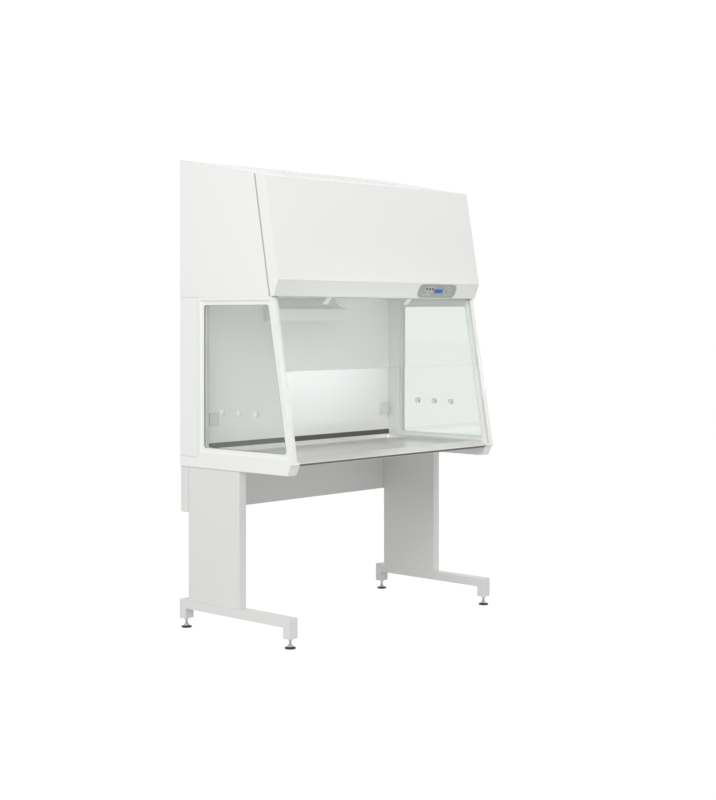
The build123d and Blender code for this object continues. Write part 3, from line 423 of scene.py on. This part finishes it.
# Dark colour of the strips of painted shade on the worktop
painted_shade_brown = moulded("painted_shade_brown", SHADE_STRIP_BROWN, 0.5)
plug_plastic = moulded("frosted_plug", (0.93, 0.95, 0.93), 0.35, Transmission_Weight=0.35)
button_pale = moulded("button_pale_grey", (0.6, 0.61, 0.6), 0.35)
white_plastic = moulded("white_plastic", (0.78, 0.79, 0.76), 0.35)
panel_grey = moulded("panel_grey", PANEL_GREY, 0.42)
keypad_grey = moulded("keypad_grey", KEYPAD_GREY, 0.5)
black_plastic = moulded("black_plastic", NEAR_BLACK, 0.4)
ring_metal = brushed("ring_metal", (0.62, 0.62, 0.64), 0, 0.32, 0.3 * MM)
zinc = brushed("zinc_plate", ZINC, 2, 0.28)
filter_alloy = brushed("filter_alloy", (0.7, 0.71, 0.71), 1, 0.4)
fan_alloy = brushed("fan_alloy", (0.66, 0.68, 0.7), 1, 0.35)
motor_iron = moulded("motor_enamel", (0.05, 0.055, 0.06), 0.5, 120.0)
filter_paper = fleece("filter_paper", (0.85, 0.85, 0.8))
prefilter_fleece = fleece("prefilter_fleece", (0.7, 0.74, 0.76))
pale_plastic = moulded("pale_mark", PALE_MARK, 0.4)
panel_dark = moulded("panel_dark_grey", (0.2, 0.22, 0.2), 0.4)
display_blue = glowing("display_blue", (0.001, 0.15, 0.56), 0.2)
foot_finish = levelling_foot_finish("levelling_foot_finish", FOOT_PAD_TOP * MM)

finishes = {
    white: "front_cover roof_panel intake_grille hood_back_panel lower_back_panel pillar_covers",
    hood_side_white: "left_hood_panel right_hood_panel",
    frame_white: "left_side_frame right_side_frame rail_caps",
    stand_white: "left_foot_frame right_foot_frame left_column right_column rear_beam",
    chamber_white: "rear_wall lamp_housing diffuser",
    steel: "worktop",
    galvanised: "worktop_bearers filter_shelf front_bulkhead fan_deck fan_bracket control_box",
    side_glass: "left_side_glass right_side_glass",
    sash_glass: "sash_pane",
    rubber: "sash_glides sash_guides",
    bead_grey: "glazing_beads",
    plug_plastic: "port_plugs",
    white_plastic: "socket_bases left_socket_lid right_socket_lid lamp_holders",
    tube_glass: "lamp_tube",
    zinc: "lock_nuts hinge_pins",
    filter_alloy: "filter_frame",
    filter_paper: "filter_pleats",
    prefilter_fleece: "prefilter",
    fan_alloy: "fan_impeller",
    motor_iron: "fan_motor",
    panel_grey: "control_plate",
    keypad_grey: "keypad_field",
    display_blue: "display",
    ring_metal: "button_ring",
    button_pale: "round_button",
}
for finish, names in finishes.items():
    for name in names.split():
        dress(name, finish)
for name, colour in KEY_COLOURS.items():
    dress(name, moulded(f"{name}_face", colour, 0.4, 300.0, 0.8 * MM))
for name in nodes:
    if name.startswith("levelling_foot"):
        dress(name, foot_finish)


def piece(name, build, material, body):
    """New mesh object, built by a function of its bmesh, that rides on a body."""
    mesh = bpy.data.meshes.new(name)
    work = bmesh.new()
    build(work)
    bmesh.ops.recalc_face_normals(work, faces=work.faces)
    work.to_mesh(mesh)
    work.free()
    mesh.materials.append(material)
    made = bpy.data.objects.new(name, mesh)
    bpy.context.scene.collection.objects.link(made)
    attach(made, body)


def circle(radius, steps=40):
    """Points of a circle."""
    turns = [2 * pi * step / steps for step in range(steps)]
    return [(radius * cos(turn), radius * sin(turn)) for turn in turns]


def rounded(corners, radius, steps=6):
    """Points of a convex polygon whose corners are arcs of one radius."""
    points = []
    for index, corner in enumerate(corners):
        here = Vector(corner)
        before = (Vector(corners[index - 1]) - here).normalized()
        after = (Vector(corners[(index + 1) % len(corners)]) - here).normalized()
        half_angle = before.angle(after) / 2
        middle = here + (before + after).normalized() * radius / sin(half_angle)
        start = here + before * radius / tan(half_angle) - middle
        end = here + after * radius / tan(half_angle) - middle
        for step in range(steps + 1):
            arm = start.lerp(end, step / steps).normalized() * radius
            points.append(tuple(middle + arm))
    return points


def oblong(half_x, half_y):
    """Corners of an oblong about the origin."""
    return [(half_x, -half_y), (half_x, half_y), (-half_x, half_y), (-half_x, -half_y)]


def prism(work, points, place, low, high, hole=None):
    """Closed prism over an outline, or a ring when it has a hole with as many points."""
    outlines = [points] if hole is None else [points, hole]
    loops = []
    for outline in outlines:
        for height in (low, high):
            loops.append([work.verts.new(place(x, y, height)) for x, y in outline])
        for index in range(len(outline)):
            work.faces.new((loops[-2][index - 1], loops[-2][index], loops[-1][index], loops[-1][index - 1]))
    if hole is None:
        work.faces.new(loops[0])
        work.faces.new(loops[1])
        return
    for outer, inner in ((loops[0], loops[2]), (loops[1], loops[3])):
        for index in range(len(outer)):
            work.faces.new((outer[index - 1], outer[index], inner[index], inner[index - 1]))


def lathe(work, profile, place, steps=40):
    """Turned solid: its profile runs from the axis, or closes on itself round a bore."""
    rings = []
    for radius, height in profile:
        if radius == 0:
            rings.append([work.verts.new(place(0, 0, height))])
        else:
            rings.append([work.verts.new(place(x, y, height)) for x, y in circle(radius, steps)])
    bored = all(len(ring) > 1 for ring in rings)
    for first, second in zip(rings, rings[1:] + rings[:1] if bored else rings[1:]):
        for index in range(steps):
            if len(first) == 1:
                corners = [first[0], second[index], second[index - 1]]
            elif len(second) == 1:
                corners = [first[index - 1], first[index], second[0]]
            else:
                corners = [first[index - 1], first[index], second[index], second[index - 1]]
            work.faces.new(corners)


def on_side(sign):
    """Place of a point given by its Y, its Z and its depth below a side's outer face."""
    return lambda y, z, depth: Vector((sign * (HALF - depth), y, z)) * MM


def on_panel(centre_x, centre_y):
    """Place of a point on the control plate's face, with its height above it."""
    slant = Vector((0, -CHAMFER[0], -CHAMFER[1])).normalized()
    upward = slant.cross(Vector((1, 0, 0)))

    def place(x, y, height):
        flat = Vector((centre_x + x, 0, 0)) + upward * (centre_y + y)
        return (Vector(PANEL_ORIGIN) + flat + slant * (PLATE_THICKNESS + height)) * MM

    return place


def window(grow):
    """Outline of a side window in Y and Z, its sides moved out."""
    low = WINDOW_LOW - grow
    high = WINDOW_HIGH + grow
    ahead = TOE_Y + WINDOW_AHEAD - grow
    return rounded(
        [
            (WINDOW_REAR + grow, low),
            (WINDOW_REAR + grow, high),
            (ahead + (high - SILL_TOP) * LEAN, high),
            (ahead + (low - SILL_TOP) * LEAN, low),
        ],
        WINDOW_ROUND + grow,
    )


def window_gaskets():
    """Gasket round each side window, behind its white lip."""
    for side, sign, material in (("left", -1, rubber), ("right", 1, bead_grey)):
        def build(work):
            inner = window(-GASKET_THICKNESS)
            prism(work, window(-GASKET_FIT), on_side(sign), *GASKET_DEPTH, inner)

        piece(f"{side}_window_gasket", build, material, "cabinet")


def worktop_shade_strips():
    """Dark strips of painted shade on the worktop's rear upstand, where the steel lies in shadow and
    mirrors dark, and under its nose, where the open underside lies in shadow.
    """
    def box(work, low, high):
        corners = [(low[0], low[1]), (high[0], low[1]), (high[0], high[1]), (low[0], high[1])]
        prism(work, corners, lambda x, y, z: Vector((x, y, z)) * MM, low[2], high[2])

    def upstand(work):
        ahead = WORKTOP_REAR - UPSTAND_SHADE_THICKNESS
        box(
            work,
            (-UPSTAND_SHADE_HALF, ahead, RIM_TOP + UPSTAND_SHADE_LIFT),
            (UPSTAND_SHADE_HALF, WORKTOP_REAR, RIM_TOP + UPSTAND_RISE),
        )

    def nose(work):
        ahead, behind = (NOSE_Y + depth for depth in NOSE_SHADE_BEHIND)
        box(
            work,
            (-NOSE_SHADE_HALF, ahead, NOSE_LOW - NOSE_SHADE_DROP),
            (NOSE_SHADE_HALF, behind, NOSE_LOW),
        )

    # Both strips are painted shade, not real parts of the worktop
    piece("worktop_rear_shade_strip", upstand, painted_shade_brown, "cabinet")
    piece("worktop_nose_shade_strip", nose, painted_shade_brown, "cabinet")


def key_faces():
    """Pale centres or marks on the six keys."""
    marks = {
        "lamp_key": circle(DOT_RADIUS, steps=24),
        "light_key": rounded(oblong(*BAR_HALF), MARK_ROUND),
        "stop_key": rounded(oblong(*SQUARE_HALF), MARK_ROUND),
    }
    centre = rounded(oblong(*OVAL_HALF), OVAL_ROUND)
    for index, (name, slot) in enumerate(KEY_SLOTS.items()):
        row = 1 - index // 3
        x = KEYPAD_CENTRE + KEY_PITCH[0] * (index % 3 - 1) + KEY_STAGGER * (row - 0.5)
        y = KEY_PITCH[1] * (row - 0.5)
        shape = marks.get(name, centre)

        def build(work):
            prism(work, shape, on_panel(x, y), KEY_TOP - MARK_SINK, KEY_TOP + MARK_RISE)

        piece(f"{name}_mark", build, pale_plastic, f"{name}_body")


def panel_trim():
    """Bezel of the display, pale rim of the plate, the ring's groove and the button's dark cap."""
    def outline(size, radius, grow, steps=6):
        corners = oblong(size[0] / 2 + grow, size[1] / 2 + grow)
        return rounded(corners, radius + grow, steps)

    def bezel(work):
        outer = outline(DISPLAY_SIZE, BEZEL_ROUND, BEZEL_REACH)
        inner = outline(DISPLAY_SIZE, BEZEL_ROUND, -BEZEL_LAP)
        prism(work, outer, on_panel(DISPLAY_CENTRE, 0), *BEZEL_HEIGHTS, inner)

    def rim(work):
        outer = outline(PLATE_SIZE, PLATE_ROUND, RIM_REACH, steps=16)
        inner = outline(PLATE_SIZE, PLATE_ROUND, RIM_GAP, steps=16)
        prism(work, outer, on_panel(0, 0), *RIM_HEIGHTS, inner)

    def groove(work):
        low, high = (RING_TOP + height for height in GROOVE_HEIGHTS)
        outer, inner = (circle(radius) for radius in GROOVE_RADII)
        prism(work, outer, on_panel(BUTTON_CENTRE, 0), low, high, inner)

    def cap(work):
        profile = [(radius, BUTTON_TOP + height) for radius, height in CAP_PROFILE]
        lathe(work, profile, on_panel(BUTTON_CENTRE, 0), CAP_SIDES)

    piece("display_bezel", bezel, panel_dark, "cover")
    piece("control_plate_rim", rim, white_plastic, "cover")
    piece("button_groove", groove, panel_dark, "cover")
    piece("button_cap", cap, black_plastic, "round_button_body")


def foot_cones():
    """Zinc cone between each levelling pad and its stud."""
    for corner in ("front_left", "front_right", "rear_left", "rear_right"):
        low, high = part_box(f"levelling_foot_{corner}")
        middle = ((low[0] + high[0]) / 2, (low[1] + high[1]) / 2)

        def place(x, y, height):
            return Vector((middle[0] + x * MM, middle[1] + y * MM, height * MM))

        def build(work):
            lathe(work, FOOT_CONE, place)

        piece(f"{corner}_foot_cone", build, zinc, f"levelling_foot_{corner}_body")


def back_screws():
    """Pan head screws of both back panels, with their cross recesses."""
    def ring(face, side, rows, columns, ends):
        """Places of the screws round one panel."""
        at_sides = [(x, z, face) for x in (-side, side) for z in rows]
        at_ends = [(x, z, face) for x in columns for z in ends]
        return at_sides + at_ends

    spots = ring(
        CABINET_REAR, LOWER_SCREW_SIDES, LOWER_SCREW_ROWS, LOWER_SCREW_COLUMNS, LOWER_SCREW_ENDS
    )
    spots += ring(
        CABINET_REAR + BACK_SHEET, HOOD_SCREW_SIDES, HOOD_SCREW_ROWS, HOOD_SCREW_COLUMNS, HOOD_SCREW_ENDS
    )

    def place_at(spot):
        return lambda x, y, height: Vector((spot[0] + x, spot[2] + height, spot[1] + y)) * MM

    def heads(work):
        for spot in spots:
            lathe(work, SCREW_HEAD, place_at(spot), SCREW_SIDES)

    def recesses(work):
        for spot in spots:
            for arm in (RECESS_ARM, RECESS_ARM[::-1]):
                prism(work, oblong(*arm), place_at(spot), *RECESS_HEIGHTS)

    piece("back_panel_screws", heads, zinc, "cabinet")
    piece("back_panel_screw_recesses", recesses, black_plastic, "cabinet")


# Floor, light and camera
def stage():
    """Large pale floor that shows white around the shadow of the stand."""
    mesh = bpy.data.meshes.new("floor")
    corners = [(x, y, 0) for x, y in oblong(FLOOR_REACH, FLOOR_REACH)]
    mesh.from_pydata(corners, [], [(0, 1, 2, 3)])
    made = Nodes("floor_white")
    shader = made.principled(FLOOR_WHITE, 0.7)
    tone = made.mix(made.noise(2.0), shade(FLOOR_WHITE, 0.995), shade(FLOOR_WHITE, 1.005))
    made.join(tone, shader.inputs["Base Color"])
    seen = made.add("ShaderNodeEmission")
    seen.inputs["Strength"].default_value = FLOOR_SEEN
    path = made.add("ShaderNodeLightPath")
    mirrored = made.math("MAXIMUM", path.outputs["Is Glossy Ray"], path.outputs["Is Transmission Ray"])
    direct = made.math("MAXIMUM", path.outputs["Is Camera Ray"], mirrored)
    share = made.math("MULTIPLY", direct, FLOOR_SHARE)
    mix = made.add("ShaderNodeMixShader")
    made.join(share, mix.inputs["Fac"])
    made.join(shader.outputs["BSDF"], mix.inputs[1])
    made.join(seen.outputs["Emission"], mix.inputs[2])
    made.join(mix.outputs["Shader"], made.out.inputs["Surface"])
    mesh.materials.append(made.material)
    floor = bpy.data.objects.new("floor", mesh)
    bpy.context.scene.collection.objects.link(floor)


def area_light(name, place, target, size, power, spread, mirrored=True):
    """Soft rectangular light aimed at a point, its beam as wide as the spread in degrees.

    One that isn't mirrored leaves no highlight on metal and gloss paint.
    """
    data = bpy.data.lights.new(name, "AREA")
    data.shape = "RECTANGLE"
    data.size, data.size_y = size
    data.energy = power
    data.spread = radians(spread)
    light = bpy.data.objects.new(name, data)
    light.location = place
    light.visible_glossy = mirrored
    light.rotation_mode = "QUATERNION"
    light.rotation_quaternion = (Vector(target) - Vector(place)).to_track_quat("-Z", "Y")
    bpy.context.scene.collection.objects.link(light)


def surroundings():
    """World that the camera, metal and glass see as white, and that lights a little less."""
    world = bpy.data.worlds.new("white_room")
    bpy.context.scene.world = world
    world.use_nodes = True
    tree = world.node_tree
    tree.nodes.clear()

    def background(strength, colour):
        node = tree.nodes.new("ShaderNodeBackground")
        node.inputs["Strength"].default_value = strength
        node.inputs["Color"].default_value = (*colour, 1)
        return node.outputs["Background"]

    def either(first, second):
        node = tree.nodes.new("ShaderNodeMath")
        node.operation = "MAXIMUM"
        tree.links.new(first, node.inputs[0])
        tree.links.new(second, node.inputs[1])
        return node.outputs["Value"]

    path = tree.nodes.new("ShaderNodeLightPath").outputs
    direct = either(either(path["Is Camera Ray"], path["Is Transmission Ray"]), path["Is Glossy Ray"])
    mix = tree.nodes.new("ShaderNodeMixShader")
    out = tree.nodes.new("ShaderNodeOutputWorld")
    tree.links.new(direct, mix.inputs["Fac"])
    tree.links.new(background(WORLD_LIT, WORLD_TINT), mix.inputs[1])
    tree.links.new(background(WORLD_SEEN, (1, 1, 1)), mix.inputs[2])
    tree.links.new(mix.outputs["Shader"], out.inputs["Surface"])


def lamps():
    """Broad key from the left, high fill from the front and weak fill into the chamber."""
    area_light(
        "key_light",
        place=(-5.5, -2.5, 4.2),
        target=(0, 0, 1.2),
        size=(4.0, 3.0),
        power=162,
        spread=180,
    )
    area_light(
        "front_fill",
        place=(1.2, -3.6, 5.8),
        target=(0, 0, 1.6),
        size=(3.0, 3.0),
        power=55,
        spread=180,
        mirrored=False,
    )
    area_light(
        "chamber_fill",
        place=(0.2, -3.9, 0.5),
        target=(0, 0.25, 1.2),
        size=(1.1, 0.4),
        power=0.8,
        spread=12,
        mirrored=False,
    )


def camera():
    """Level camera at the photograph's place and lens."""
    data = bpy.data.cameras.new("camera")
    data.sensor_width = SENSOR
    data.lens = FOCAL_PX / PHOTO_HEIGHT * SENSOR
    data.shift_y = -(PHOTO_HEIGHT / 2 - HORIZON_ROW) / PHOTO_HEIGHT
    made = bpy.data.objects.new("camera", data)
    made.location = CAMERA_PLACE
    made.rotation_euler = (pi / 2, 0, -CAMERA_YAW)
    bpy.context.scene.collection.objects.link(made)
    bpy.context.scene.camera = made
    bpy.context.scene.view_settings.view_transform = "Standard"


camera()
window_gaskets()
worktop_shade_strips()
key_faces()
panel_trim()
foot_cones()
back_screws()
stage()
surroundings()
lamps()
